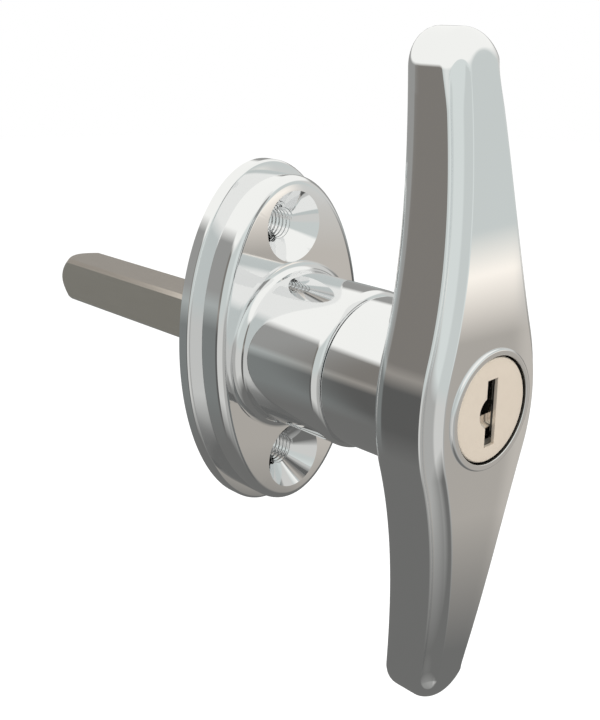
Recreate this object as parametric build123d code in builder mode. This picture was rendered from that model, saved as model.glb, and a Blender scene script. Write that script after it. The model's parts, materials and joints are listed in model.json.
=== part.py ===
"""Key-locking T-handle with its rose and square drive spindle.

Millimetres. The origin is the centre of the rose's back face, where it lies on the door.
+Y runs along the spindle into the door, -Y comes out towards the user, +Z is up along
the grip and +X is the user's right. A depth is a distance in front of the door, so the
depth d lies at y = -d, and what is behind the door has a negative depth.
"""
import os
from math import cos, pi, radians, sin, sqrt

from build123d import *

# Fits and clearances
RUN = 0.05            # radial gap of a turning fit
PRESS = 0.02          # radial gap left round a pressed piece
FACE_GAP = 0.1        # gap between flat faces that slide on each other
HEAD_GAP = 0.1        # radial gap round the plug's head

# Rose: stepped oval plate with a collar
ROSE_HALF_W = 16.7
ROSE_HALF_H = 28.5
ROSE_STEP_T = 2.3     # thickness of the wider back step
ROSE_STEP_EDGE = 0.45
FACE_HALF_W = 15.2
FACE_HALF_H = 26.7
ROSE_T = 8.06
FACE_EDGE = 1.3       # rounded edge of the front oval
COLLAR_R = 12.07
COLLAR_FRONT = 25.0   # depth of the collar's front face
COLLAR_ROUND = 1.25   # rounded front edge of the collar
COLLAR_FILLET = 1.45  # hollow fillet at the collar's foot
FOOT_RING_H = 0.3     # low ring that the fillet stands on
BORE_R = 8.5
RECESS_R = 12.5       # recess in the back for washers and circlip
RECESS_DEPTH = 5.0

# Fixing holes: tapped, with a countersunk mouth
HOLE_CENTRES = 38.0
THREAD_MINOR_R = 2.5  # core of an M6 thread
SINK_R = 5.45
SINK_ANGLE = 90.0

# Grip of the T-handle
GRIP_LENGTH = 98.0
HUB_HALF_W = 12.5
HUB_ARC_R = 28.0
HUB_ARC_ANGLE = 17.9  # half the angle that the hub's arc spans
TIP_R = 5.4
TIP_TAPER = 4.9       # slope of the flank where the tip begins
FLANK_STEPS = 4       # spans that a flank's curve is drawn with
GRIP_FRONT = 46.35    # depth of the front face on the axis
GRIP_BACK = 35.1      # depth of the back face on the axis
BOW_FRONT_R = 195.0   # both faces bow back towards the tips
BOW_BACK_R = 270.0
BOW_SPREAD = 20.0     # angle either way that the front's form is turned through
CROWN_R = 200.0       # crown across the front face
FRONT_EDGE = 2.4      # round of the front edge, which shows past the flutes
BACK_EDGE = 2.8       # round of the back edge, for the fingers
FLUTE_W = 2.7         # width and depth of the flute along each front edge
FLUTE_ROUND = 2.0     # hollow round between its floor and wall
FLUTE_REACH = 0.985   # how far along the flank the flute runs

# Neck and shaft, in one casting with the grip
NECK_R = 11.35
NECK_EDGE = 0.3
SHAFT_R = BORE_R - RUN
SHAFT_END = 0.8       # depth of the shaft's back end
JOINT_GAP = 0.15      # seam between the neck and the collar

# Lock: ring on the grip, barrel, plug and face
RING_R = 8.6
RING_FRONT = 46.6
RING_EDGE = 0.35
HEAD_R = 7.5
FACE_FRONT = 46.3
FACE_T = 0.5
FACE_ROUND = 0.2
HEAD_BACK = 43.4
BARREL_R = 7.0
BARREL_BACK = 22.9
PLUG_R = 5.5
PLUG_BACK = 21.0

# Keyhole and keyway
KEY_HALF_W = 1.1
KEY_TOP = 4.4
KEY_BOTTOM = -5.2     # lower end of the opening in the face
KEYWAY_BOTTOM = -4.3  # lower end of the slot in the plug
KEY_BULGE_R = 2.25
KEY_BULGE_Z = -0.25
KEY_BULGE_X = -0.25
KEYWAY_BACK = 27.5

# Wafers
WAFER_COUNT = 5
WAFER_T = 1.3
WAFER_PITCH = 2.4
WAFER_FIRST = 41.4    # depth of the middle of the first wafer
WAFER_HALF_W = 3.35
WAFER_TRAVEL = 0.7
WAFER_SLACK = 0.05
WAFER_END_GAP = 0.15  # room beyond a wafer's end in the barrel's groove
WINDOW_HALF_W = 1.3
WINDOW_TOP = 4.0
WINDOW_BOTTOM = -1.0
SPRING_R = 0.45
SPRING_BORE_R = 0.25
SPRING_SEAT = -3.4    # height of the springs' seat in the plug
LUG_FOOT = 1.0        # height of the lug that each spring pushes up

# Locking bolt, slid by an eccentric pin on the plug
BOLT_T = 3.8
BOLT_HALF_W = 3.0
BOLT_TAIL = 3.9
BOLT_FRONT = 20.7
BOLT_NOSE_GAP = 0.1   # how far the drawn-in nose lies inside the shaft
DRIVE_ECCENTRIC = 1.5
DRIVE_PIN_R = 1.0
DRIVE_PIN_BACK = 17.2
DRIVE_PIN_GRIP = 3.0  # length held in the plug
YOKE_GAP = 0.1
POCKET_GAP = 0.25

# Retaining clip on the plug
CLIP_FRONT = 22.75
CLIP_T = 0.65
CLIP_IN_R = 4.7
CLIP_OUT_R = 6.6
CLIP_MOUTH = 4.2

# Pins
BARREL_PIN_R = 0.6
BARREL_PIN_DEPTH = 24.0
BARREL_PIN_IN = 6.1
STOP_PIN_R = 0.6
STOP_PIN_RADIUS = 9.65
STOP_PIN_REACH = 1.3  # how far it stands out of the neck
STOP_PIN_GRIP = 4.0
STOP_GAP = 0.1
TURN = 90.0           # how far the handle turns
SPINDLE_PIN_R = 1.5
SPINDLE_PIN_BORE = 0.8
SPINDLE_PIN_SLIT = 0.5
SPINDLE_PIN_DEPTH = 8.4
SPINDLE_PIN_END_GAP = 0.25

# Spindle
SPINDLE_SQUARE = 8.0
SPINDLE_EDGE = 0.65
SPINDLE_END = -52.9
SPINDLE_HELD = 14.6
SPINDLE_POINT_R = 4.0
SPINDLE_POINT_L = 1.9
SOCKET_GAP = 0.03

# Seal, washers and circlip round the shaft
SEAL_R = 0.7
SEAL_DEPTH = 13.2
SEAL_GROOVE_W = 1.8
SEAL_GAP = 0.05
WASHER_T = 1.0
WASHER_OUT_R = 12.2
WASHER_IN_GAP = 0.15
SPRING_WASHER_T = 0.45
SPRING_WASHER_H = 0.9
SPRING_WASHER_OUT_R = 11.8
CIRCLIP_T = 0.95
CIRCLIP_GROOVE_R = 7.6
CIRCLIP_OUT_R = 10.7
CIRCLIP_MOUTH = 6.0
STACK_GAP = 0.04

# Planes: a profile is drawn as (radius, depth), and a front view as (x, z)
PROFILE = Plane(origin=(0, 0, 0), x_dir=(1, 0, 0), z_dir=(0, 0, -1))
DOOR = Plane.XZ

# Places worked out from the sizes above
BOW_AXIS = Axis((0, BOW_FRONT_R - GRIP_FRONT, 0), (-1, 0, 0))
BOW_START = Plane(
    origin=BOW_AXIS.position, x_dir=(1, 0, 0), z_dir=(0, sin(radians(BOW_SPREAD)), -cos(radians(BOW_SPREAD)))
)
BLANK_EXTRA = 10.0    # how far the grip's blank reaches past its faces, to be cut back
BLANK_T = GRIP_FRONT - GRIP_BACK + 2 * BLANK_EXTRA
NECK_BACK = COLLAR_FRONT + JOINT_GAP
BARREL_FRONT = HEAD_BACK - FACE_GAP
FACE_BACK = FACE_FRONT - FACE_T
WAFER_BACK = WAFER_FIRST - WAFER_PITCH * (WAFER_COUNT - 1)
LUG_X = WAFER_HALF_W - 2 * SPRING_R - 2 * WAFER_SLACK
BOLT_BACK = BOLT_FRONT - BOLT_T
BOLT_THROW = 2 * DRIVE_ECCENTRIC * sin(pi / 4)
CHANNEL_FRONT = BOLT_FRONT + FACE_GAP
CHANNEL_BACK = BOLT_BACK - FACE_GAP
NOSE_R = SHAFT_R - BOLT_NOSE_GAP
POCKET_R = NOSE_R + BOLT_THROW + POCKET_GAP
DRIVE_PIN_X = -DRIVE_ECCENTRIC * sin(pi / 4)
DRIVE_PIN_Z = DRIVE_ECCENTRIC * cos(pi / 4)
CLIP_BACK = CLIP_FRONT - CLIP_T
STOP_ANGLE = 90 + TURN / 2
SOCKET_FRONT = SPINDLE_HELD + FACE_GAP
SPINDLE_CORNER_R = sqrt((SPINDLE_SQUARE / 2) ** 2 + (SPINDLE_SQUARE / 2 - SPINDLE_EDGE) ** 2)
SEAL_CENTRE_R = BORE_R - PRESS - SEAL_R
SPRING_WASHER_BACK = RECESS_DEPTH - WASHER_T - STACK_GAP - SPRING_WASHER_H
CIRCLIP_BACK = SPRING_WASHER_BACK - STACK_GAP - CIRCLIP_T
wafer_depths = [WAFER_FIRST - WAFER_PITCH * n for n in range(WAFER_COUNT)]


def finish(builder, name):
    """Label the piece and write it under the same name."""
    builder.part.label = name
    export_step(builder.part, f"parts/{name}.step")


os.makedirs("parts", exist_ok=True)


# Rose
with BuildPart() as rose:
    with BuildSketch(DOOR):
        Ellipse(ROSE_HALF_W, ROSE_HALF_H)
    extrude(amount=ROSE_STEP_T)
    fillet(rose.faces().sort_by(Axis.Y)[0].edges(), ROSE_STEP_EDGE)
    with BuildSketch(DOOR.offset(ROSE_STEP_T)):
        Ellipse(FACE_HALF_W, FACE_HALF_H)
    extrude(amount=ROSE_T - ROSE_STEP_T)
    fillet(rose.faces().sort_by(Axis.Y)[0].edges(), FACE_EDGE)
    # Collar with its foot ring, hollow fillet and rounded front edge
    with BuildSketch(PROFILE):
        with BuildLine():
            foot = Line((COLLAR_R + COLLAR_FILLET, ROSE_T), (COLLAR_R + COLLAR_FILLET, ROSE_T + FOOT_RING_H))
            hollow = RadiusArc(foot @ 1, (COLLAR_R, ROSE_T + FOOT_RING_H + COLLAR_FILLET), -COLLAR_FILLET)
            wall = Line(hollow @ 1, (COLLAR_R, COLLAR_FRONT - COLLAR_ROUND))
            nose = RadiusArc(wall @ 1, (COLLAR_R - COLLAR_ROUND, COLLAR_FRONT), COLLAR_ROUND)
            Polyline(nose @ 1, (0, COLLAR_FRONT), (0, ROSE_T), foot @ 0)
        make_face()
    revolve(axis=Axis.Y)
    # Bore and the recess behind it
    with BuildSketch(DOOR):
        Circle(BORE_R)
    extrude(amount=COLLAR_FRONT, mode=Mode.SUBTRACT)
    with BuildSketch(DOOR):
        Circle(RECESS_R)
    extrude(amount=RECESS_DEPTH, mode=Mode.SUBTRACT)
    # Two pockets that the bolt drops into, a quarter turn apart
    with BuildSketch(DOOR.offset(CHANNEL_BACK - POCKET_GAP)):
        Rectangle(POCKET_R, 2 * (BOLT_HALF_W + POCKET_GAP), align=(Align.MIN, Align.CENTER))
        Rectangle(2 * (BOLT_HALF_W + POCKET_GAP), POCKET_R, align=(Align.CENTER, Align.MAX))
        Circle(POCKET_R, mode=Mode.INTERSECT)
    extrude(amount=BOLT_T + 2 * FACE_GAP + 2 * POCKET_GAP, mode=Mode.SUBTRACT)
    # Curved groove that limits the handle's turn
    with BuildSketch(DOOR.offset(COLLAR_FRONT)):
        with BuildLine():
            outer = CenterArc((0, 0), STOP_PIN_RADIUS + STOP_PIN_R + STOP_GAP, 90 - TURN / 2, TURN)
            inner = CenterArc((0, 0), STOP_PIN_RADIUS - STOP_PIN_R - STOP_GAP, 90 - TURN / 2, TURN)
            Line(outer @ 0, inner @ 0)
            Line(outer @ 1, inner @ 1)
        make_face()
        with PolarLocations(STOP_PIN_RADIUS, 2, 90 - TURN / 2, TURN, endpoint=True):
            Circle(STOP_PIN_R + STOP_GAP)
    extrude(amount=-(STOP_PIN_REACH + FACE_GAP), mode=Mode.SUBTRACT)
    # Tapped holes with countersunk mouths
    with BuildSketch(DOOR):
        with GridLocations(0, HOLE_CENTRES, 1, 2):
            Circle(THREAD_MINOR_R)
    extrude(amount=ROSE_T, mode=Mode.SUBTRACT)
    with BuildSketch(DOOR.offset(ROSE_T)):
        with GridLocations(0, HOLE_CENTRES, 1, 2):
            Circle(SINK_R)
    extrude(amount=-(SINK_R - THREAD_MINOR_R), taper=SINK_ANGLE / 2, mode=Mode.SUBTRACT)
finish(rose, "rose")


# Grip, drawn from one quarter of its front view
with BuildLine():
    hub = CenterArc((HUB_HALF_W - HUB_ARC_R, 0), HUB_ARC_R, 0, HUB_ARC_ANGLE)
    tip = CenterArc((0, GRIP_LENGTH / 2 - TIP_R), TIP_R, TIP_TAPER, 90 - TIP_TAPER)
    flank = Spline(hub @ 1, tip @ 0, tangents=(hub % 1, tip % 0))


def grip_outline(inset):
    """The grip's front view, drawn this far inside its edge."""
    places = [n / FLANK_STEPS for n in range(FLANK_STEPS + 1)]
    points = [flank @ t + Vector(-(flank % t).Y, (flank % t).X) * inset for t in places]
    with BuildSketch() as shape:
        with BuildLine():
            CenterArc((HUB_HALF_W - HUB_ARC_R, 0), HUB_ARC_R - inset, 0, HUB_ARC_ANGLE)
            CenterArc((0, GRIP_LENGTH / 2 - TIP_R), TIP_R - inset, TIP_TAPER, 90 - TIP_TAPER)
            Spline(points, tangents=(flank % 0, flank % 1))
            mirror(about=Plane.XZ)
            mirror(about=Plane.YZ)
        make_face()
    return shape.sketch


def bow(radius, z):
    """How far a face of this bow radius has fallen back at height z."""
    return radius - sqrt(radius**2 - z**2)


def front_block(fall):
    """Everything behind a crowned surface that lies this far behind the bowed front."""
    top = BOW_FRONT_R - fall
    rim = top - bow(CROWN_R, 2 * HUB_HALF_W)
    floor = BOW_FRONT_R - GRIP_FRONT
    with BuildPart() as block:
        with BuildSketch(BOW_START):
            with BuildLine():
                crown = ThreePointArc((-2 * HUB_HALF_W, rim), (0, top), (2 * HUB_HALF_W, rim))
                Polyline(crown @ 1, (2 * HUB_HALF_W, floor), (-2 * HUB_HALF_W, floor), crown @ 0)
            make_face()
        revolve(axis=BOW_AXIS, revolution_arc=2 * BOW_SPREAD)
    return block.part


behind_front = front_block(0)
behind_flute = front_block(FLUTE_W)

outline = grip_outline(0)
flute_inner = grip_outline(FLUTE_W)

with BuildPart() as blank:
    with BuildSketch(DOOR.offset(GRIP_BACK - BLANK_EXTRA)):
        add(outline)
    extrude(amount=BLANK_T)

# The flute's front view: a band inside the outline with a round end near each tip
with BuildSketch() as band:
    add(outline)
    add(flute_inner, mode=Mode.SUBTRACT)
    flute_end = flank @ FLUTE_REACH
    half_height = flute_end.Y + FLUTE_W * (flank % FLUTE_REACH).X
    Rectangle(4 * HUB_HALF_W, 2 * half_height, mode=Mode.INTERSECT)
    with GridLocations(2 * flute_end.X, 2 * flute_end.Y, 2, 2):
        Circle(FLUTE_W)

with BuildPart() as flute:
    with BuildSketch(DOOR.offset(GRIP_BACK - BLANK_EXTRA)):
        add(band.sketch)
    extrude(amount=BLANK_T)
    add(behind_flute, mode=Mode.SUBTRACT)


with BuildPart() as handle:
    add(blank.part)
    add(behind_front, mode=Mode.INTERSECT)
    with BuildSketch(Plane.YZ):
        with Locations((BOW_BACK_R - GRIP_BACK, 0)):
            Circle(BOW_BACK_R)
    extrude(amount=2 * HUB_HALF_W, both=True, mode=Mode.SUBTRACT)
    back_face = handle.faces().filter_by(GeomType.CYLINDER).sort_by(SortBy.AREA)[-1]
    fillet(back_face.edges(), BACK_EDGE)
    fillet(handle.faces().sort_by(Axis.Y)[0].edges(), FRONT_EDGE)
    add(flute.part, mode=Mode.SUBTRACT)
    for side in (-1, 1):
        corner = (side * (HUB_HALF_W - FLUTE_W), FLUTE_W - GRIP_FRONT, 0)
        fillet(handle.edges().sort_by_distance(corner)[0], FLUTE_ROUND)
    # Ring round the lock
    with BuildSketch(DOOR.offset(GRIP_BACK)):
        Circle(RING_R)
    extrude(amount=RING_FRONT - GRIP_BACK)
    chamfer(handle.faces().sort_by(Axis.Y)[0].edges(), RING_EDGE)
    # Neck and shaft
    with BuildSketch(DOOR.offset(NECK_BACK)):
        Circle(NECK_R)
    extrude(amount=GRIP_BACK + BACK_EDGE - NECK_BACK)
    chamfer(handle.faces().sort_by(Axis.Y)[-1].edges(), NECK_EDGE)
    with BuildSketch(DOOR.offset(SHAFT_END)):
        Circle(SHAFT_R)
    extrude(amount=GRIP_BACK - SHAFT_END)
    chamfer(handle.faces().sort_by(Axis.Y)[-1].edges(), NECK_EDGE)
    # Bore for the lock barrel, wider at the plug's head
    with BuildSketch(DOOR.offset(RING_FRONT)):
        Circle(HEAD_R + HEAD_GAP)
    extrude(amount=-(RING_FRONT - BARREL_FRONT), mode=Mode.SUBTRACT)
    with BuildSketch(DOOR.offset(BARREL_FRONT)):
        Circle(BARREL_R)
    extrude(amount=-(BARREL_FRONT - CHANNEL_FRONT), mode=Mode.SUBTRACT)
    # Channel for the bolt, open on the side where its nose comes out
    with BuildSketch(DOOR.offset(CHANNEL_BACK)):
        with Locations((-BOLT_TAIL - FACE_GAP, 0)):
            Rectangle(2 * SHAFT_R, 2 * (BOLT_HALF_W + FACE_GAP), align=(Align.MIN, Align.CENTER))
    extrude(amount=CHANNEL_FRONT - CHANNEL_BACK, mode=Mode.SUBTRACT)
    # Square socket for the spindle
    with BuildSketch(DOOR):
        Rectangle(SPINDLE_SQUARE + 2 * SOCKET_GAP, SPINDLE_SQUARE + 2 * SOCKET_GAP)
    extrude(amount=SOCKET_FRONT, mode=Mode.SUBTRACT)
    # Groove for the seal and groove for the circlip
    with BuildSketch(PROFILE):
        with Locations((SEAL_CENTRE_R - SEAL_R - SEAL_GAP, SEAL_DEPTH)):
            Rectangle(SHAFT_R, SEAL_GROOVE_W, align=(Align.MIN, Align.CENTER))
        with Locations((CIRCLIP_GROOVE_R, CIRCLIP_BACK - STACK_GAP / 2)):
            Rectangle(SHAFT_R, CIRCLIP_T + STACK_GAP, align=(Align.MIN, Align.MIN))
    revolve(axis=Axis.Y, mode=Mode.SUBTRACT)
    # Cross hole for the spindle pin
    with BuildSketch(Plane.YZ):
        with Locations((-SPINDLE_PIN_DEPTH, 0)):
            Circle(SPINDLE_PIN_R + PRESS)
    extrude(amount=2 * SHAFT_R, both=True, mode=Mode.SUBTRACT)
    # Hole for the stop pin in the neck, and hole for the pin that holds the barrel
    with BuildSketch(DOOR.offset(NECK_BACK)):
        with PolarLocations(STOP_PIN_RADIUS, 1, start_angle=STOP_ANGLE):
            Circle(STOP_PIN_R + PRESS)
    extrude(amount=STOP_PIN_GRIP, mode=Mode.SUBTRACT)
    with BuildSketch(Plane.XY):
        with Locations((0, -BARREL_PIN_DEPTH)):
            Circle(BARREL_PIN_R + PRESS)
    extrude(amount=-2 * SHAFT_R, mode=Mode.SUBTRACT)
finish(handle, "handle")


# Lock barrel: the sleeve that the plug turns in
with BuildPart() as lock_barrel:
    with BuildSketch(DOOR.offset(BARREL_BACK)):
        Circle(BARREL_R - PRESS)
        Circle(PLUG_R + RUN, mode=Mode.SUBTRACT)
    extrude(amount=BARREL_FRONT - BARREL_BACK)
    # Two grooves that the wafers spring into, a quarter turn apart
    groove_reach = WAFER_HALF_W + 2 * WAFER_SLACK
    with BuildSketch(DOOR.offset(WAFER_BACK - WAFER_T)):
        Rectangle(2 * groove_reach, 2 * PLUG_R, align=(Align.CENTER, Align.MIN))
        Rectangle(2 * PLUG_R, 2 * groove_reach, align=(Align.MIN, Align.CENTER))
        Circle(PLUG_R + WAFER_TRAVEL + WAFER_END_GAP, mode=Mode.INTERSECT)
    extrude(amount=WAFER_FIRST - WAFER_BACK + 2 * WAFER_T, mode=Mode.SUBTRACT)
    with BuildSketch(Plane.XY.offset(-BARREL_PIN_IN + PRESS)):
        with Locations((0, -BARREL_PIN_DEPTH)):
            Circle(BARREL_PIN_R + PRESS)
    extrude(amount=-BARREL_R, mode=Mode.SUBTRACT)
finish(lock_barrel, "lock_barrel")


def keyhole(bottom):
    """Slot of the key's section, with the round bulge on its left side."""
    with BuildSketch() as shape:
        with Locations((0, (KEY_TOP + bottom) / 2)):
            Rectangle(2 * KEY_HALF_W, KEY_TOP - bottom)
        with Locations((KEY_BULGE_X, KEY_BULGE_Z)):
            Circle(KEY_BULGE_R)
        with Locations((KEY_HALF_W, 0)):
            Rectangle(2 * PLUG_R, 4 * PLUG_R, align=(Align.MIN, Align.CENTER), mode=Mode.SUBTRACT)
    return shape.sketch


face_keyhole = keyhole(KEY_BOTTOM)
plug_keyway = keyhole(KEYWAY_BOTTOM)


# Lock plug, with a slot for each wafer and a seat for each wafer's spring
with BuildPart() as lock_plug:
    with BuildSketch(DOOR.offset(PLUG_BACK)):
        Circle(PLUG_R)
    extrude(amount=HEAD_BACK - PLUG_BACK)
    with BuildSketch(DOOR.offset(HEAD_BACK)):
        Circle(HEAD_R)
    extrude(amount=FACE_BACK - HEAD_BACK)
    with BuildSketch(DOOR.offset(KEYWAY_BACK)):
        add(plug_keyway)
    extrude(amount=FACE_BACK - KEYWAY_BACK, mode=Mode.SUBTRACT)
    for depth in wafer_depths:
        with BuildSketch(DOOR.offset(depth - WAFER_T / 2 - WAFER_SLACK)):
            Rectangle(2 * (WAFER_HALF_W + WAFER_SLACK), 4 * PLUG_R)
            with Locations((LUG_X + WAFER_SLACK, SPRING_SEAT)):
                Rectangle(PLUG_R, PLUG_R, align=(Align.MIN, Align.MAX), mode=Mode.SUBTRACT)
            Circle(PLUG_R + RUN, mode=Mode.INTERSECT)
        extrude(amount=WAFER_T + 2 * WAFER_SLACK, mode=Mode.SUBTRACT)
    # Groove for the clip and hole for the drive pin
    with BuildSketch(PROFILE):
        with Locations((CLIP_IN_R - PRESS, CLIP_BACK - PRESS)):
            Rectangle(PLUG_R, CLIP_T + 2 * PRESS, align=(Align.MIN, Align.MIN))
    revolve(axis=Axis.Y, mode=Mode.SUBTRACT)
    with BuildSketch(DOOR.offset(PLUG_BACK)):
        with Locations((DRIVE_PIN_X, DRIVE_PIN_Z)):
            Circle(DRIVE_PIN_R + PRESS)
    extrude(amount=DRIVE_PIN_GRIP + PRESS, mode=Mode.SUBTRACT)
finish(lock_plug, "lock_plug")


# Thin face of the plug, with the keyhole
with BuildPart() as plug_face:
    with BuildSketch(DOOR.offset(FACE_BACK)):
        Circle(HEAD_R)
        add(face_keyhole, mode=Mode.SUBTRACT)
    extrude(amount=FACE_T)
    fillet(plug_face.edges().group_by(Axis.Y)[0].sort_by(SortBy.LENGTH)[-1], FACE_ROUND)
finish(plug_face, "plug_face")


# Wafers, each with the spring that pushes its lug up
for number, depth in enumerate(wafer_depths, start=1):
    with BuildPart() as wafer:
        with BuildSketch(DOOR.offset(depth - WAFER_T / 2)):
            Rectangle(2 * WAFER_HALF_W, 4 * PLUG_R)
            with Locations((LUG_X, LUG_FOOT)):
                Rectangle(PLUG_R, 4 * PLUG_R, align=(Align.MIN, Align.MAX), mode=Mode.SUBTRACT)
            Circle(PLUG_R - WAFER_SLACK, mode=Mode.INTERSECT)
            with Locations((0, (WINDOW_TOP + WINDOW_BOTTOM) / 2)):
                Rectangle(2 * WINDOW_HALF_W, WINDOW_TOP - WINDOW_BOTTOM, mode=Mode.SUBTRACT)
        extrude(amount=WAFER_T)
    finish(wafer, f"wafer_{number}")
    with BuildPart() as wafer_spring:
        with BuildSketch(Plane.XY.offset(SPRING_SEAT)):
            with Locations((LUG_X + WAFER_SLACK + SPRING_R, -depth)):
                Circle(SPRING_R)
                Circle(SPRING_BORE_R, mode=Mode.SUBTRACT)
        extrude(amount=LUG_FOOT - SPRING_SEAT)
    finish(wafer_spring, f"wafer_spring_{number}")


# Clip that keeps the plug in its barrel
with BuildPart() as plug_clip:
    with BuildSketch(DOOR.offset(CLIP_BACK)):
        Circle(CLIP_OUT_R)
        Circle(CLIP_IN_R, mode=Mode.SUBTRACT)
        Rectangle(CLIP_MOUTH, CLIP_OUT_R, align=(Align.CENTER, Align.MAX), mode=Mode.SUBTRACT)
    extrude(amount=CLIP_T)
finish(plug_clip, "plug_clip")


# Pin on the plug's tail and the bolt that it slides
with BuildPart() as drive_pin:
    with BuildSketch(DOOR.offset(DRIVE_PIN_BACK)):
        with Locations((DRIVE_PIN_X, DRIVE_PIN_Z)):
            Circle(DRIVE_PIN_R)
    extrude(amount=PLUG_BACK + DRIVE_PIN_GRIP - DRIVE_PIN_BACK)
finish(drive_pin, "drive_pin")


with BuildPart() as locking_bolt:
    with BuildSketch(DOOR.offset(BOLT_BACK)):
        with Locations((-BOLT_TAIL, 0)):
            Rectangle(2 * SHAFT_R, 2 * BOLT_HALF_W, align=(Align.MIN, Align.CENTER))
        Circle(NOSE_R, mode=Mode.INTERSECT)
        with Locations((DRIVE_PIN_X, DRIVE_PIN_Z - DRIVE_PIN_R - 2 * YOKE_GAP)):
            yoke_w = 2 * (DRIVE_PIN_R + YOKE_GAP)
            Rectangle(yoke_w, 2 * BOLT_HALF_W, align=(Align.CENTER, Align.MIN), mode=Mode.SUBTRACT)
    extrude(amount=BOLT_T)
finish(locking_bolt, "locking_bolt")


# Pins pressed into the handle
with BuildPart() as barrel_pin:
    with BuildSketch(Plane.XY.offset(-BARREL_PIN_IN)):
        with Locations((0, -BARREL_PIN_DEPTH)):
            Circle(BARREL_PIN_R)
    extrude(amount=-(SHAFT_R - BARREL_PIN_IN - BOLT_NOSE_GAP))
finish(barrel_pin, "barrel_pin")


with BuildPart() as stop_pin:
    with BuildSketch(DOOR.offset(NECK_BACK - STOP_PIN_REACH)):
        with PolarLocations(STOP_PIN_RADIUS, 1, start_angle=STOP_ANGLE):
            Circle(STOP_PIN_R)
    extrude(amount=STOP_PIN_REACH + STOP_PIN_GRIP)
finish(stop_pin, "stop_pin")


# Square spindle with a turned point, and the roll pin through it
with BuildPart() as spindle:
    with BuildSketch(DOOR.offset(SPINDLE_END)) as section:
        Rectangle(SPINDLE_SQUARE, SPINDLE_SQUARE)
        chamfer(section.vertices(), SPINDLE_EDGE)
    extrude(amount=SPINDLE_HELD - SPINDLE_END)
    with BuildSketch(PROFILE):
        with BuildLine():
            point = Line((SPINDLE_POINT_R, SPINDLE_END), (SPINDLE_CORNER_R, SPINDLE_END + SPINDLE_POINT_L))
            Polyline(
                point @ 1, (SPINDLE_CORNER_R, SPINDLE_HELD), (0, SPINDLE_HELD), (0, SPINDLE_END), point @ 0
            )
        make_face()
    revolve(axis=Axis.Y, mode=Mode.INTERSECT)
    with BuildSketch(Plane.YZ):
        with Locations((-SPINDLE_PIN_DEPTH, 0)):
            Circle(SPINDLE_PIN_R + PRESS)
    extrude(amount=SPINDLE_SQUARE, both=True, mode=Mode.SUBTRACT)
finish(spindle, "spindle")


with BuildPart() as spindle_pin:
    with BuildSketch(Plane.YZ):
        with Locations((-SPINDLE_PIN_DEPTH, 0)):
            Circle(SPINDLE_PIN_R)
            Circle(SPINDLE_PIN_BORE, mode=Mode.SUBTRACT)
            Rectangle(SPINDLE_PIN_SLIT, SPINDLE_PIN_R, align=(Align.CENTER, Align.MIN), mode=Mode.SUBTRACT)
    extrude(amount=SHAFT_R - SPINDLE_PIN_END_GAP, both=True)
finish(spindle_pin, "spindle_pin")


# Seal in the shaft's groove, pressed to the size of the bore
with BuildPart() as shaft_seal:
    with BuildSketch(PROFILE):
        with Locations((SEAL_CENTRE_R, SEAL_DEPTH)):
            Circle(SEAL_R)
    revolve(axis=Axis.Y)
finish(shaft_seal, "shaft_seal")


# Stack in the rose's recess: flat washer, disc spring and circlip
with BuildPart() as thrust_washer:
    with BuildSketch(DOOR.offset(RECESS_DEPTH - WASHER_T)):
        Circle(WASHER_OUT_R)
        Circle(SHAFT_R + WASHER_IN_GAP, mode=Mode.SUBTRACT)
    extrude(amount=WASHER_T)
finish(thrust_washer, "thrust_washer")


with BuildPart() as spring_washer:
    with BuildSketch(PROFILE):
        with BuildLine():
            Polyline(
                (SHAFT_R + WASHER_IN_GAP, SPRING_WASHER_BACK),
                (SPRING_WASHER_OUT_R, SPRING_WASHER_BACK + SPRING_WASHER_H - SPRING_WASHER_T),
                (SPRING_WASHER_OUT_R, SPRING_WASHER_BACK + SPRING_WASHER_H),
                (SHAFT_R + WASHER_IN_GAP, SPRING_WASHER_BACK + SPRING_WASHER_T), close=True,
            )
        make_face()
    revolve(axis=Axis.Y)
finish(spring_washer, "spring_washer")


with BuildPart() as circlip:
    with BuildSketch(DOOR.offset(CIRCLIP_BACK)):
        Circle(CIRCLIP_OUT_R)
        Circle(CIRCLIP_GROOVE_R + PRESS, mode=Mode.SUBTRACT)
        Rectangle(CIRCLIP_MOUTH, CIRCLIP_OUT_R, align=(Align.CENTER, Align.MAX), mode=Mode.SUBTRACT)
    extrude(amount=CIRCLIP_T)
finish(circlip, "circlip")
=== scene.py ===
"""Dressed T-handle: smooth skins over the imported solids, metal finishes, studio light and camera.

Sizes are millimetres until a mesh is made, and metres in the studio. A depth is a distance in
front of the door, so the depth d lies at y = -d.
"""

import json
import math

import bmesh
import bpy
import numpy as np
from mathutils import Matrix, Vector


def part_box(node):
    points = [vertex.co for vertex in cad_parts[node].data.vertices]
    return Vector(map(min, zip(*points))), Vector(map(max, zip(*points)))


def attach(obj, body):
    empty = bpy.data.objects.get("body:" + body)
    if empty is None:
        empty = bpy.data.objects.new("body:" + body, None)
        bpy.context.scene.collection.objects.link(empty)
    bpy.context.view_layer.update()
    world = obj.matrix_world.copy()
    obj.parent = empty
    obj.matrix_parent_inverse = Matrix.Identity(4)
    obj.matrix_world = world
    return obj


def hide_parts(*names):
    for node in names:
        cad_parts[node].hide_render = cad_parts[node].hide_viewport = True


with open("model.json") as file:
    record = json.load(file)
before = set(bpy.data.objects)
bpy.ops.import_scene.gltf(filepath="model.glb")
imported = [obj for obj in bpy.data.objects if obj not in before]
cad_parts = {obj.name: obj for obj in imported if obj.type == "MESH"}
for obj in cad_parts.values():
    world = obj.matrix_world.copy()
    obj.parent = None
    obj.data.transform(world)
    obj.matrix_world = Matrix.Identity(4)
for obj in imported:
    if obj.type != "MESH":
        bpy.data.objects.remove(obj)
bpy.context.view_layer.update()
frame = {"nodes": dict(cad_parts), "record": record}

MM = 0.001


# Mesh helpers

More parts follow.
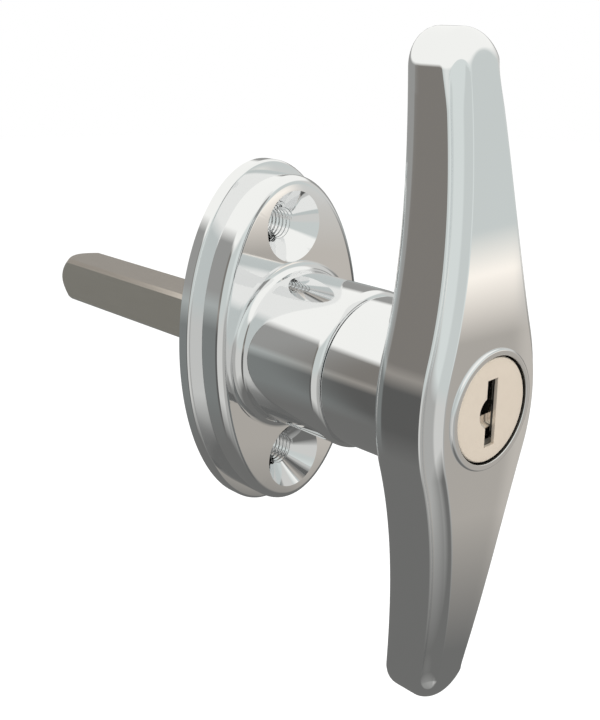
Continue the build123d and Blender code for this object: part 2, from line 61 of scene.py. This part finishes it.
class Skin:
    """Patches of one piece, joined where their edges meet."""

    def __init__(self, sharp=32):
        self.points, self.faces, self.count, self.sharp = [], [], 0, sharp

    def grid(self, pts, wrap=False):
        """A sheet of quads through pts[row][column]; wrap closes each row into a ring."""
        rows, cols = pts.shape[:2]
        i = np.arange(rows - 1)[:, None] * cols
        j = np.arange(cols if wrap else cols - 1)[None, :]
        k = (j + 1) % cols
        quads = np.stack([i + j, i + k, i + cols + k, i + cols + j], axis=-1).reshape(-1, 4)
        self.faces += (quads + self.count).tolist()
        self.points.append(pts.reshape(-1, 3))
        self.count += rows * cols

    def flat(self, loops, depth):
        """A flat face at this depth, inside the first loop and outside the others."""
        bm = bmesh.new()
        for loop in loops:
            ring = [bm.verts.new((x, z, 0)) for x, z in loop]
            for a, b in zip(ring, ring[1:] + ring[:1]):
                bm.edges.new((a, b))
        bmesh.ops.triangle_fill(bm, use_beauty=True, edges=bm.edges[:])
        bm.verts.index_update()
        pts = np.array([(v.co.x, -depth, v.co.y) for v in bm.verts])
        self.faces += [[v.index + self.count for v in f.verts] for f in bm.faces]
        self.points.append(pts)
        self.count += len(pts)
        bm.free()

    def mesh(self, name):
        data = bpy.data.meshes.new(name)
        data.from_pydata((np.concatenate(self.points) * MM).tolist(), [], self.faces)
        bm = bmesh.new()
        bm.from_mesh(data)
        bmesh.ops.remove_doubles(bm, verts=bm.verts, dist=2e-6)
        bmesh.ops.dissolve_degenerate(bm, dist=1e-7, edges=bm.edges)
        bmesh.ops.recalc_face_normals(bm, faces=bm.faces)
        bm.to_mesh(data)
        bm.free()
        data.polygons.foreach_set("use_smooth", [True] * len(data.polygons))
        data.set_sharp_from_angle(angle=math.radians(self.sharp))
        piece = bpy.data.objects.new(name, data)
        bpy.context.scene.collection.objects.link(piece)
        weighted = piece.modifiers.new("normals", "WEIGHTED_NORMAL")
        weighted.keep_sharp = True
        return piece


def points(x, y, z):
    """Points from coordinates that are first spread to one shape."""
    return np.stack(np.broadcast_arrays(x, y, z), axis=-1)


def arc(x, y, radius, start, end, steps=8):
    """Points on a circle about (x, y), from one angle to the other."""
    turn = np.radians(np.linspace(start, end, steps + 1))
    return [(x + radius * math.cos(t), y + radius * math.sin(t)) for t in turn]


def lathe(profile, steps=240):
    """Rings about the Y axis through the profile's (radius, depth) points."""
    turn = np.linspace(0, 2 * np.pi, steps, endpoint=False)
    r, d = np.array(profile).T
    return points(np.outer(r, np.cos(turn)), -d[:, None], np.outer(r, np.sin(turn)))


def circle(radius, steps=240):
    turn = np.linspace(0, 2 * np.pi, steps, endpoint=False)
    return np.stack([radius * np.cos(turn), radius * np.sin(turn)], axis=-1)


def rim(outline, normals, profile):
    """Rings that follow an outline, through the profile's (inset, depth) points."""
    q, d = np.array(profile).T
    inset = outline[None] - q[:, None, None] * normals[None]
    return points(inset[..., 0], -d[:, None], inset[..., 1])


def from_front(ring):
    """The (x, z) outline of a ring of points."""
    return ring[:, [0, 2]]


# Rose: two stepped ovals, the collar and the two threaded holes

ROSE_STEPS = 360
STEP_HALF_W, STEP_HALF_H, STEP_T = 16.7, 28.5, 2.3
STEP_CHAMFER = 0.15
STEP_EDGE = 0.45
FACE_HALF_W, FACE_HALF_H, ROSE_T = 15.2, 26.7, 8.06
FACE_EDGE = 1.3
COLLAR_R = 12.07
COLLAR_FRONT = 25.0
COLLAR_EDGE = 1.25
FOOT_R = 13.52         # where the collar's fillet meets the face
FOOT_RISE = 0.3
BORE_R = 8.5
RECESS_R = 12.5
RECESS_DEPTH = 5.0
HOLE_STEPS = 120
HOLE_Z = 19.0
SINK_R = 5.45
THREAD_CORE_R = 2.2
THREAD_DEEP = 0.36
THREAD_PITCH = 0.8
THREAD_ROWS = 16       # to each turn
THREAD_TOP = 5.25      # depth where the countersink has outgrown the thread


def oval(half_w, half_h):
    """Points of an oval and their outward normals."""
    turn = np.linspace(0, 2 * np.pi, ROSE_STEPS, endpoint=False)
    line = np.stack([half_w * np.cos(turn), half_h * np.sin(turn)], axis=-1)
    out = np.stack([half_h * np.cos(turn), half_w * np.sin(turn)], axis=-1)
    return line, out / np.linalg.norm(out, axis=1, keepdims=True)


def hole_points(turn, depth, z):
    """Points of the threaded hole and its countersink, at these angles and depths."""
    cone = depth - (ROSE_T - SINK_R)
    phase = (depth / THREAD_PITCH + turn / (2 * np.pi)) % 1.0
    thread = THREAD_CORE_R + THREAD_DEEP * (0.5 - 0.5 * np.cos(2 * np.pi * phase))
    r = np.maximum(cone, thread)
    return points(r * np.cos(turn), -depth, z + r * np.sin(turn))


rose = Skin()
step_side, face_side = STEP_T - STEP_EDGE, ROSE_T - FACE_EDGE
step = rim(
    *oval(STEP_HALF_W, STEP_HALF_H),
    [(STEP_CHAMFER, 0), (0, STEP_CHAMFER), (0, step_side)]
    + arc(STEP_EDGE, step_side, STEP_EDGE, 180, 90),
)
face = rim(
    *oval(FACE_HALF_W, FACE_HALF_H),
    [(0, STEP_T), (0, face_side)] + arc(FACE_EDGE, face_side, FACE_EDGE, 180, 90, 14),
)
rose.grid(step, wrap=True)
rose.grid(np.stack([step[-1], face[0]]), wrap=True)
rose.grid(face, wrap=True)
foot_fillet = FOOT_R - COLLAR_R
rose.grid(lathe(
    [(FOOT_R, ROSE_T), (FOOT_R, ROSE_T + FOOT_RISE)]
    + arc(FOOT_R, ROSE_T + FOOT_RISE + foot_fillet, foot_fillet, 270, 180, 12)
    + [(COLLAR_R, 16.0), (COLLAR_R, COLLAR_FRONT - COLLAR_EDGE)]
    + arc(COLLAR_R - COLLAR_EDGE, COLLAR_FRONT - COLLAR_EDGE, COLLAR_EDGE, 0, 90, 12)
    + [(BORE_R, COLLAR_FRONT), (BORE_R, RECESS_DEPTH), (RECESS_R, RECESS_DEPTH), (RECESS_R, 0)]
), wrap=True)

hole_turn = np.linspace(0, 2 * np.pi, HOLE_STEPS, endpoint=False)
sink_depths = np.linspace(THREAD_TOP, ROSE_T, 14)[:, None]
# The thread's rows climb with the thread, so that its ridges run along them
thread_turn = np.linspace(0, 2 * np.pi, HOLE_STEPS + 1)
thread_rows = np.arange(0, THREAD_TOP + THREAD_PITCH + 0.01, THREAD_PITCH / THREAD_ROWS)[:, None]
thread_depths = np.clip(thread_rows - THREAD_PITCH * thread_turn / (2 * np.pi), 0, THREAD_TOP)
threads = Skin(sharp=180)
sink_rims, mouth_rims = [], []
for z in (HOLE_Z, -HOLE_Z):
    sink = hole_points(hole_turn, sink_depths, z)
    rose.grid(sink, wrap=True)
    threads.grid(hole_points(thread_turn, thread_depths, z))
    sink_rims.append(from_front(sink[-1]))
    mouth_rims.append(from_front(hole_points(hole_turn, 0.0, z)))
rose.flat([from_front(face[-1]), circle(FOOT_R)] + sink_rims, ROSE_T)
rose.flat([from_front(step[0]), circle(RECESS_R)] + mouth_rims, 0)


# Grip: worked out along the right half of its front view, then mirrored

HUB_HALF_W = 12.5
HUB_ARC_R = 28.0
HUB_ARC_ANGLE = 17.9
GRIP_HALF = 49.0
TIP_R = 5.4
TIP_TAPER = 4.9
FACE_BOW_R = 223.0     # bow of the front face, seen from the side
FACE_CROWN_R = 200.0   # crown of the front face, seen from above
FACE_DEPTH = 46.35
BACK_BOW_R = 389.0
BACK_DEPTH = 35.2
TIP_EDGE = 2.8         # round of the front edge past the flute's ends
BACK_EDGE = 2.6
FLUTE_END = 42.4       # height on the flank where the flute's round end begins
FLUTE_END_LONG = 3.4
EDGE_START = 38.5      # height where the flute's edge begins to widen into the rounded one
EDGE_LONG = 8.0
LOCK_HOLE_R = 8.0


def front_y(x, z):
    """The bowed and crowned front face."""
    reach = FACE_BOW_R - FACE_CROWN_R + np.sqrt(FACE_CROWN_R**2 - x**2)
    return FACE_BOW_R - FACE_DEPTH - np.sqrt(reach**2 - z**2)


def back_y(z):
    return BACK_BOW_R - BACK_DEPTH - np.sqrt(BACK_BOW_R**2 - z**2)


def upper_flank():
    """Points and outward normals of the upper right quarter, from the hub to the tip."""
    a = np.radians(np.linspace(0, HUB_ARC_ANGLE, 30))
    hub_n = np.stack([np.cos(a), np.sin(a)], axis=-1)
    hub = [HUB_HALF_W - HUB_ARC_R, 0] + HUB_ARC_R * hub_n
    b = np.radians(np.linspace(TIP_TAPER, 90, 48))
    tip_n = np.stack([np.cos(b), np.sin(b)], axis=-1)
    tip = [0, GRIP_HALF - TIP_R] + TIP_R * tip_n
    tip[-1, 0] = tip_n[-1, 0] = 0
    # The flank is a cubic between the two arcs, denser near the flute's end
    u = np.concatenate([np.linspace(0, 0.92, 84), np.linspace(0.925, 0.999, 70)])[1:, None]
    p0, p1 = hub[-1], tip[0]
    reach = np.linalg.norm(p1 - p0)
    t0 = reach * np.array([-math.sin(a[-1]), math.cos(a[-1])])
    t1 = reach * np.array([-math.sin(b[0]), math.cos(b[0])])
    flank = (
        (2 * u**3 - 3 * u**2 + 1) * p0 + (u**3 - 2 * u**2 + u) * t0
        + (3 * u**2 - 2 * u**3) * p1 + (u**3 - u**2) * t1
    )
    slope = (
        (6 * u**2 - 6 * u) * p0 + (3 * u**2 - 4 * u + 1) * t0
        + (6 * u - 6 * u**2) * p1 + (3 * u**2 - 2 * u) * t1
    )
    slope /= np.linalg.norm(slope, axis=1, keepdims=True)
    flank_n = np.stack([slope[:, 1], -slope[:, 0]], axis=-1)
    return np.concatenate([hub, flank, tip]), np.concatenate([hub_n, flank_n, tip_n])


# Section of the flute: a bead along the wall, a dip, a wide hollow and a lip at the front face.
# Each is an arc from one slope to the next; 90 degrees lies along the wall and 0 along the face.
BEAD_R, BEAD_STEPS = 0.3, 12
DIP_SLOPE, DIP_R = -24, 0.9
HOLLOW_SLOPE, HOLLOW_R = 15, 2.15
LIP_SLOPE, LIP_R = 75, 0.2


def bend(path, hollow, start, end, steps):
    """Adds an arc to a section of inset and depth; its radius is hollow, below 0 for a round."""
    q, d = path[-1]
    a = math.radians(start)
    for t in np.radians(np.linspace(start, end, steps + 1)[1:]):
        path.append((
            q + hollow * (math.sin(t) - math.sin(a)),
            d + hollow * (math.cos(t) - math.cos(a)),
        ))


flute_path = [(0.0, 0.0)]
bend(flute_path, -BEAD_R, 90, DIP_SLOPE, BEAD_STEPS)
bend(flute_path, DIP_R, DIP_SLOPE, HOLLOW_SLOPE, 10)
bend(flute_path, HOLLOW_R, HOLLOW_SLOPE, LIP_SLOPE, 24)
bend(flute_path, -LIP_R, LIP_SLOPE, 0, 8)
flute_q, flute_d = np.array(flute_path).T
flute_d -= flute_d[-1]
FLUTE_W = flute_q[-1]

# The section is a level part, from the bead's crest to the face, and a hollow below it
crest = np.argmin(flute_d[:BEAD_STEPS + 1])
past_crest = (flute_q - flute_q[crest]) / (FLUTE_W - flute_q[crest])
level_d = np.where(
    np.arange(len(flute_q)) < crest, flute_d, flute_d[crest] * np.clip(1 - past_crest, 0, 1)
)
hollow_d = flute_d - level_d


def edge_depth(q):
    """The rounded front edge that the grip has past the flute's ends."""
    inner = np.clip(q, 0, TIP_EDGE)
    return TIP_EDGE - np.sqrt(TIP_EDGE**2 - (TIP_EDGE - inner) ** 2)


def cut_depth(q, height):
    """How far the surface lies behind the front face, at inset q and at a height on the flank."""
    past_end = np.maximum(height - FLUTE_END, 0) / FLUTE_END_LONG
    share = np.sqrt(np.clip(1 - past_end**2, 1e-6, 1))
    across_flute = np.clip(FLUTE_W / 2 + (q - FLUTE_W / 2) / share, 0, FLUTE_W)
    t = np.clip((height - EDGE_START) / EDGE_LONG, 0, 1)
    edge = t * t * (3 - 2 * t)
    level = edge_depth(q) * edge + np.interp(q, flute_q, level_d) * (1 - edge)
    return level + np.interp(across_flute, flute_q, hollow_d) * share**2


upper, upper_n = upper_flank()
side = np.concatenate([upper[:0:-1] * [1, -1], upper])
side_n = np.concatenate([upper_n[:0:-1] * [1, -1], upper_n])
# Insets of the rows across the flute, dense at the bead and the lip
insets = np.concatenate([
    BEAD_R * (1 - np.cos(np.linspace(0, np.pi / 2, 9))), np.linspace(0.35, 0.85, 12),
    np.linspace(0.95, FLUTE_W - 0.35, 14), np.linspace(FLUTE_W - 0.27, FLUTE_W + 0.05, 10),
    np.linspace(FLUTE_W + 0.1, max(TIP_EDGE, FLUTE_W + 0.3), 5),
])


def inset_line(q):
    """The x and the z of the flank's points, moved inwards by q."""
    return (side - q * side_n).T


def across(ring, surface, inner):
    """Rows from a ring towards the middle of the grip, which stop at the x given by inner(z)."""
    x, _, z = ring.T
    t = np.linspace(0, 1, 15)[:, None]
    rows_x = x * (1 - t) + inner(z) * t
    return points(rows_x, surface(rows_x, z), z)


front_rings, back_rings = [], []
for q in insets:
    x, z = inset_line(q)
    front_rings.append(points(x, front_y(x, z) + cut_depth(q, np.abs(side[:, 1])), z))
for f in np.linspace(0, np.pi / 2, 9):
    x, z = inset_line(BACK_EDGE * (1 - math.cos(f)))
    back_rings.append(points(x, back_y(z) - BACK_EDGE * (1 - math.sin(f)), z))
wall = [front_rings[0] * (1 - t) + back_rings[0] * t for t in (0, 0.03, 0.08, 0.2, 0.5, 0.8, 1)]
front = across(front_rings[-1], front_y, lambda z: np.sqrt(np.maximum(LOCK_HOLE_R**2 - z**2, 0)))
back = across(back_rings[-1], lambda x, z: back_y(z), lambda z: 0.0)
handle = Skin()
for patch in (np.stack(front_rings), np.stack(wall), np.stack(back_rings), front, back):
    handle.grid(patch)
    handle.grid(patch * [-1, 1, 1])


# Neck, from inside the grip to the shaft's end

NECK_R = 11.35
NECK_TOP = 38.5
NECK_FOOT = 25.15
NECK_EDGE = 0.3
SHAFT_R = 8.45
SHAFT_END = 0.8
SHAFT_CHAMFER = 0.3
GROOVE_R = 7.6

circlip_low, circlip_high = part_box("circlip")
groove_front, groove_back = -circlip_low.y / MM, -circlip_high.y / MM
handle.grid(lathe([
    (NECK_R, NECK_TOP), (NECK_R, NECK_FOOT + NECK_EDGE), (NECK_R - 0.08, NECK_FOOT + 0.13),
    (NECK_R - NECK_EDGE, NECK_FOOT), (SHAFT_R, NECK_FOOT),
    (SHAFT_R, groove_front), (GROOVE_R, groove_front), (GROOVE_R, groove_back),
    (SHAFT_R, groove_back), (SHAFT_R, SHAFT_END + SHAFT_CHAMFER),
    (SHAFT_R - SHAFT_CHAMFER, SHAFT_END), (0.0, SHAFT_END),
]), wrap=True)


# Ring round the lock, and the bore that the lock sits in, near black as painted shade in the gap

RING_R = 8.6
RING_BACK, RING_FRONT = 44.5, 46.6
RING_EDGE = 0.35
RING_LIP = 0.1
LOCK_BORE_R, LOCK_SEAT = 7.64, 43.3
BARREL_BORE_R, BARREL_BORE_END = 7.0, 40.0

handle.grid(lathe(
    [(RING_R, RING_BACK), (RING_R, RING_FRONT - RING_EDGE)]
    + arc(RING_R - RING_EDGE, RING_FRONT - RING_EDGE, RING_EDGE, 0, 90, 8)
    + [(LOCK_BORE_R + RING_LIP, RING_FRONT)]
    + arc(LOCK_BORE_R + RING_LIP, RING_FRONT - RING_LIP, RING_LIP, 90, 180, 4)
), wrap=True)
# The bore takes the near-black zinc as painted shade, so the gap round the plug reads dark
lock_bore_painted_shade = Skin()
lock_bore_painted_shade.grid(lathe([
    (LOCK_BORE_R, RING_FRONT - RING_LIP), (LOCK_BORE_R, LOCK_SEAT),
    (BARREL_BORE_R, LOCK_SEAT), (BARREL_BORE_R, BARREL_BORE_END),
]), wrap=True)


# Face of the plug, with the keyhole

PLUG_R = 7.42
PLUG_BACK, PLUG_FRONT = 45.8, 46.3
PLUG_EDGE = 0.28
KEYHOLE_HALF_W = 1.1
KEYHOLE_TOP = 4.4
KEYHOLE_FOOT = -5.2
BULGE_R = 2.25
BULGE_AT = -0.25       # the x, and the z, of its middle


def keyhole(grow):
    """The keyhole's outline, a slot with a round bulge on its left, this much larger all round."""
    half_w, top, foot = KEYHOLE_HALF_W + grow, KEYHOLE_TOP + grow, KEYHOLE_FOOT - grow
    lift = math.degrees(math.acos((half_w + BULGE_AT) / (BULGE_R + grow)))
    bulge = arc(BULGE_AT, BULGE_AT, BULGE_R + grow, 180 - lift, 180 + lift, 28)
    return np.array([(half_w, foot), (half_w, top), (-half_w, top)] + bulge + [(-half_w, foot)])


# The keyhole's rounded mouth and its wall, by growth and depth
keyhole_rows = ((0.07, PLUG_FRONT), (0.02, 46.28), (0.0, 46.23), (0.0, PLUG_BACK))
keyhole_rings = [
    points(keyhole(grow)[:, 0], -depth, keyhole(grow)[:, 1]) for grow, depth in keyhole_rows
]
plug_face = Skin()
plug_face.grid(lathe(
    [(PLUG_R, PLUG_BACK), (PLUG_R, PLUG_FRONT - PLUG_EDGE)]
    + arc(PLUG_R - PLUG_EDGE, PLUG_FRONT - PLUG_EDGE, PLUG_EDGE, 0, 90, 8)
), wrap=True)
plug_face.flat([circle(PLUG_R - PLUG_EDGE), from_front(keyhole_rings[0])], PLUG_FRONT)
plug_face.grid(np.stack(keyhole_rings), wrap=True)


# Guide inside the keyhole: three strips along the right wall, a block with a sloping ledge and a foot

def prism(skin, section, x_low, x_high):
    """A prism along X with this (depth, height) section."""
    ring = np.array([(-d, z) for d, z in section])
    ends = [np.column_stack([np.full(len(ring), x), ring]) for x in (x_low, x_high)]
    skin.grid(np.stack(ends), wrap=True)
    for end in ends:
        middle = end.mean(axis=0)
        skin.grid(np.stack([end, np.repeat(middle[None], len(end), axis=0)]), wrap=True)


STRIP_FRONT, STRIP_BACK = 45.5, 45.05

key_guide = Skin()
for low, high in ((1.0, 4.3), (-3.55, 0.4), (-5.1, -4.15)):
    strip = [(STRIP_FRONT, low), (STRIP_FRONT, high), (STRIP_BACK, high), (STRIP_BACK, low)]
    prism(key_guide, strip, 1.02, 1.3)
ledge = [(45.05, -1.0), (45.1, -2.1), (45.55, -2.65), (45.5, -2.85), (44.2, -2.8), (44.2, -1.0)]
prism(key_guide, ledge, -1.95, 1.0)
prism(key_guide, [(45.6, -4.3), (45.6, -5.15), (43.6, -5.15), (43.6, -4.3)], -1.05, 1.0)


# Finishes

def material(name, color, roughness, tint, grain, scale, metallic=1.0, bump=0.0, stretch=None):
    """A metal or rubber finish whose colour and roughness wander a little over the surface."""
    mat = bpy.data.materials.new(name)
    mat.use_nodes = True
    nodes, links = mat.node_tree.nodes, mat.node_tree.links
    shader = nodes["Principled BSDF"]
    shader.inputs["Metallic"].default_value = metallic
    place = nodes.new("ShaderNodeTexCoord")
    source = place.outputs["Object"]
    if stretch:
        squeeze = nodes.new("ShaderNodeMapping")
        squeeze.inputs["Scale"].default_value = stretch
        links.new(source, squeeze.inputs["Vector"])
        source = squeeze.outputs["Vector"]
    noise = nodes.new("ShaderNodeTexNoise")
    noise.inputs["Scale"].default_value = scale
    noise.inputs["Detail"].default_value = 3.0
    links.new(source, noise.inputs["Vector"])
    ramp = nodes.new("ShaderNodeValToRGB")
    ramp.color_ramp.elements[0].color = [max(c - tint, 0) for c in color] + [1]
    ramp.color_ramp.elements[1].color = [min(c + tint, 1) for c in color] + [1]
    links.new(noise.outputs["Fac"], ramp.inputs["Fac"])
    links.new(ramp.outputs["Color"], shader.inputs["Base Color"])
    rough = nodes.new("ShaderNodeMapRange")
    rough.inputs["To Min"].default_value = roughness + grain[0]
    rough.inputs["To Max"].default_value = roughness + grain[1]
    links.new(noise.outputs["Fac"], rough.inputs["Value"])
    links.new(rough.outputs["Result"], shader.inputs["Roughness"])
    if bump:
        lift = nodes.new("ShaderNodeBump")
        lift.inputs["Strength"].default_value = bump
        lift.inputs["Distance"].default_value = 0.0001
        links.new(noise.outputs["Fac"], lift.inputs["Height"])
        links.new(lift.outputs["Normal"], shader.inputs["Normal"])
    return mat


finishes = {
    "chrome": material(
        "chrome_plate", (0.88, 0.885, 0.89), 0.05,
        tint=0.012, grain=(-0.012, 0.02), scale=60.0),
    "nickel": material(
        "satin_nickel", (0.87, 0.77, 0.65), 0.38,
        tint=0.02, grain=(-0.03, 0.05), scale=900.0, metallic=0.5, bump=0.02),
    # Zinc of the lock, darkened to near black: painted shade in the gap round the plug and the
    # keyhole
    "zinc": material(
        "zinc_near_black_as_painted_shade", (0.12, 0.12, 0.115), 0.42,
        tint=0.02, grain=(-0.04, 0.08), scale=700.0, bump=0.05),
    # Brass of the wafers, darkened as painted shade deep in the keyhole
    "brass": material(
        "wafer_brass_darkened_as_shade", (0.30, 0.27, 0.20), 0.30,
        tint=0.04, grain=(-0.05, 0.08), scale=900.0, bump=0.04),
    "steel": material(
        "drawn_steel", (0.86, 0.78, 0.70), 0.22,
        tint=0.03, grain=(-0.04, 0.06), scale=500.0, bump=0.04, stretch=(6.0, 0.25, 6.0)),
    "spring_steel": material(
        "oiled_spring_steel", (0.22, 0.22, 0.23), 0.34,
        tint=0.03, grain=(-0.05, 0.08), scale=600.0, bump=0.05),
    "rubber": material(
        "seal_rubber", (0.03, 0.03, 0.03), 0.6,
        tint=0.008, grain=(-0.05, 0.08), scale=700.0, metallic=0.0, bump=0.2),
}

for part in frame["record"]["subparts"]:
    node = frame["nodes"][part["node"]]
    for holder in node.material_slots:
        holder.material = finishes[part["material_slot"]]

for name, skin, body, node, slot in (
    ("rose_skin", rose, "rose", "rose", "chrome"),
    ("hole_threads", threads, "rose", None, "chrome"),
    ("handle_skin", handle, "handle", "handle", "chrome"),
    # the lock bore is near black as painted shade in the gap round the plug
    ("lock_bore_painted_shade", lock_bore_painted_shade, "handle", None, "zinc"),
    ("plug_face_skin", plug_face, "plug", "plug_face", "nickel"),
    ("key_guide", key_guide, "plug", None, "steel"),
):
    piece = skin.mesh(name)
    piece.data.materials.append(finishes[slot])
    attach(piece, body)
    if node:
        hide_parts(node)


# Floor

FLOOR_R = 1500         # millimetres, as its skin is
FLOOR_Z = -0.16
FLOOR_LIFT = 0.1       # glow that brings it to white where the camera sees it


def floor_cloth():
    """Pale, with the object's shadow on it, and lifted to white where the camera sees it."""
    mat = bpy.data.materials.new("pale_floor")
    mat.use_nodes = True
    nodes, links = mat.node_tree.nodes, mat.node_tree.links
    nodes.clear()
    out = nodes.new("ShaderNodeOutputMaterial")
    pale = nodes.new("ShaderNodeBsdfDiffuse")
    pale.inputs["Color"].default_value = (0.9, 0.9, 0.9, 1)
    glow = nodes.new("ShaderNodeEmission")
    glow.inputs["Color"].default_value = (1, 1, 1, 1)
    ray = nodes.new("ShaderNodeLightPath")
    lift = nodes.new("ShaderNodeMath")
    lift.operation = "MULTIPLY"
    lift.inputs[1].default_value = FLOOR_LIFT
    both = nodes.new("ShaderNodeAddShader")
    links.new(ray.outputs["Is Camera Ray"], lift.inputs[0])
    links.new(lift.outputs["Value"], glow.inputs["Strength"])
    links.new(pale.outputs["BSDF"], both.inputs[0])
    links.new(glow.outputs["Emission"], both.inputs[1])
    links.new(both.outputs["Shader"], out.inputs["Surface"])
    return mat


floor_skin = Skin()
floor_skin.flat([circle(FLOOR_R, 64)], 0)
floor = floor_skin.mesh("floor")
floor.rotation_euler = (math.pi / 2, 0, 0)
floor.location = (0, 0, FLOOR_Z)
floor.data.materials.append(floor_cloth())


# Studio: a tent of soft cards that only reflections see, even white light and a soft lamp

TENT_R = 0.12
TENT_GLOW = 1.1

# Tints of the soft cards, and the cards' bands by height, from -1 at the foot to 1 at the top
COOL, PLAIN, WARM = (0.94, 1.0, 0.98), (1.0, 1.0, 0.97), (1.0, 0.94, 0.86)
FOOT, TOP = (0.15, PLAIN), (0.9, PLAIN)
BAND_HEIGHTS = (-0.75, -0.5, -0.1, 0.05, 0.15, 0.5, 0.6)

# Brightness and tint of each card low on the wall, at the horizon and high on the wall
SIDE_CARD = (0.6, PLAIN), (0.6, COOL), (0.6, COOL)
NEAR_CARD = (0.4, PLAIN), (0.7, COOL), (0.7, COOL)
FRONT_CARD = (0.4, WARM), (1.0, WARM), (0.6, COOL)
ROSE_CARD = (0.5, WARM), (0.6, PLAIN), (0.6, COOL)
DARK_CARD = (0.1, PLAIN), (0.3, PLAIN), (0.6, PLAIN)
BACK_CARD = (0.2, COOL), (0.4, COOL), (0.3, PLAIN)
LEFT_CARD = (0.1, PLAIN), (0.3, WARM), (0.2, WARM)

# Angles between which each card takes over from the one before, atan2(y, x) in degrees; the
# side card lies on both sides of 180
CARDS = [
    (-125, -115, NEAR_CARD),
    (-75, -60, FRONT_CARD),
    (-51, -47, ROSE_CARD),
    (-42, -34, DARK_CARD),
    (-14, -2, BACK_CARD),
    (142, 156, LEFT_CARD),
    (174, 179, SIDE_CARD),
]

# Sockets of the colours in Blender's mix node
MIX_A, MIX_B, MIX_RESULT = 6, 7, 2


def tent_cloth():
    """Glows as the soft cards do, worked out from the place on the tent."""
    mat = bpy.data.materials.new("tent_cloth")
    mat.use_nodes = True
    nodes, links = mat.node_tree.nodes, mat.node_tree.links
    nodes.clear()
    place = nodes.new("ShaderNodeTexCoord")
    split = nodes.new("ShaderNodeSeparateXYZ")
    links.new(place.outputs["Object"], split.inputs["Vector"])
    height = nodes.new("ShaderNodeMapRange")
    height.inputs["From Min"].default_value = -TENT_R
    height.inputs["From Max"].default_value = TENT_R
    links.new(split.outputs["Z"], height.inputs["Value"])
    turn = nodes.new("ShaderNodeMath")
    turn.operation = "ARCTAN2"
    links.new(split.outputs["Y"], turn.inputs[0])
    links.new(split.outputs["X"], turn.inputs[1])

    def card_color(low, horizon, high):
        ramp = nodes.new("ShaderNodeValToRGB")
        while len(ramp.color_ramp.elements) < len(BAND_HEIGHTS):
            ramp.color_ramp.elements.new(0.5)
        bands = (FOOT, low, low, horizon, high, high, TOP)
        for element, z, (level, tint) in zip(ramp.color_ramp.elements, BAND_HEIGHTS, bands):
            element.position = (z + 1) / 2
            element.color = (*(level * part for part in tint), 1)
        links.new(height.outputs["Result"], ramp.inputs["Fac"])
        return ramp.outputs["Color"]

    color = card_color(*SIDE_CARD)
    for start, end, card in CARDS:
        step = nodes.new("ShaderNodeMapRange")
        step.interpolation_type = "SMOOTHSTEP"
        step.inputs["From Min"].default_value = math.radians(start)
        step.inputs["From Max"].default_value = math.radians(end)
        links.new(turn.outputs["Value"], step.inputs["Value"])
        blend = nodes.new("ShaderNodeMix")
        blend.data_type = "RGBA"
        links.new(step.outputs["Result"], blend.inputs["Factor"])
        links.new(color, blend.inputs[MIX_A])
        links.new(card_color(*card), blend.inputs[MIX_B])
        color = blend.outputs[MIX_RESULT]
    glow = nodes.new("ShaderNodeEmission")
    glow.inputs["Strength"].default_value = TENT_GLOW
    links.new(color, glow.inputs["Color"])
    out = nodes.new("ShaderNodeOutputMaterial")
    links.new(glow.outputs["Emission"], out.inputs["Surface"])
    mat.cycles.emission_sampling = "NONE"
    return mat


def tent():
    data = bpy.data.meshes.new("tent")
    bm = bmesh.new()
    bmesh.ops.create_uvsphere(bm, u_segments=96, v_segments=48, radius=TENT_R)
    bm.to_mesh(data)
    bm.free()
    data.materials.append(tent_cloth())
    piece = bpy.data.objects.new("tent", data)
    bpy.context.scene.collection.objects.link(piece)
    piece.visible_camera = False
    piece.visible_diffuse = False
    piece.visible_transmission = False
    piece.visible_volume_scatter = False
    piece.visible_shadow = False


def even_light():
    world = bpy.data.worlds.new("studio")
    bpy.context.scene.world = world
    world.use_nodes = True
    sky = world.node_tree.nodes["Background"]
    sky.inputs["Color"].default_value = (1, 1, 1, 1)
    sky.inputs["Strength"].default_value = 1.0


def lamp(name, place, aim, size, power):
    """A round soft lamp, which reflections don't see."""
    light = bpy.data.lights.new(name, "AREA")
    light.shape = "DISK"
    light.size = size
    light.energy = power
    holder = bpy.data.objects.new(name, light)
    holder.location = place
    holder.rotation_euler = (Vector(place) - Vector(aim)).to_track_quat("Z", "Y").to_euler()
    holder.visible_glossy = False
    bpy.context.scene.collection.objects.link(holder)


tent()
even_light()
lamp("overhead", place=(-0.25, -0.35, 0.75), aim=(0, -0.02, 0), size=0.5, power=3.0)


# Camera, placed by a fit to the photograph: angles in degrees, distances in millimetres from the
# part's origin along the camera's own axes, and the focal length in pixels of a 600 by 720 image

CAMERA_TURN, CAMERA_RISE, CAMERA_ROLL = -44.21, 19.247, 0.256
CAMERA_AWAY, CAMERA_RIGHT, CAMERA_UP = 173.8, 6.585, -4.344
FOCAL_LENGTH = 1062.8
IMAGE_H = 720
SENSOR = 36.0


def camera():
    turn, rise, roll = np.radians([CAMERA_TURN, CAMERA_RISE, CAMERA_ROLL])
    away = np.array([
        math.sin(turn) * math.cos(rise), -math.cos(turn) * math.cos(rise), math.sin(rise),
    ])
    level = np.array([math.cos(turn), math.sin(turn), 0.0])
    upright = np.cross(away, level)
    right = math.cos(roll) * level + math.sin(roll) * upright
    up = -math.sin(roll) * level + math.cos(roll) * upright
    view = bpy.data.cameras.new("view")
    view.sensor_width = SENSOR
    view.lens = FOCAL_LENGTH / IMAGE_H * SENSOR
    view.clip_start = 0.01
    holder = bpy.data.objects.new("view", view)
    turned = Matrix((right, up, away)).transposed().to_4x4()
    turned.translation = (away * CAMERA_AWAY + right * CAMERA_RIGHT + up * CAMERA_UP) * MM
    holder.matrix_world = turned
    bpy.context.scene.collection.objects.link(holder)
    bpy.context.scene.camera = holder


camera()
bpy.context.scene.view_settings.view_transform = "Standard"
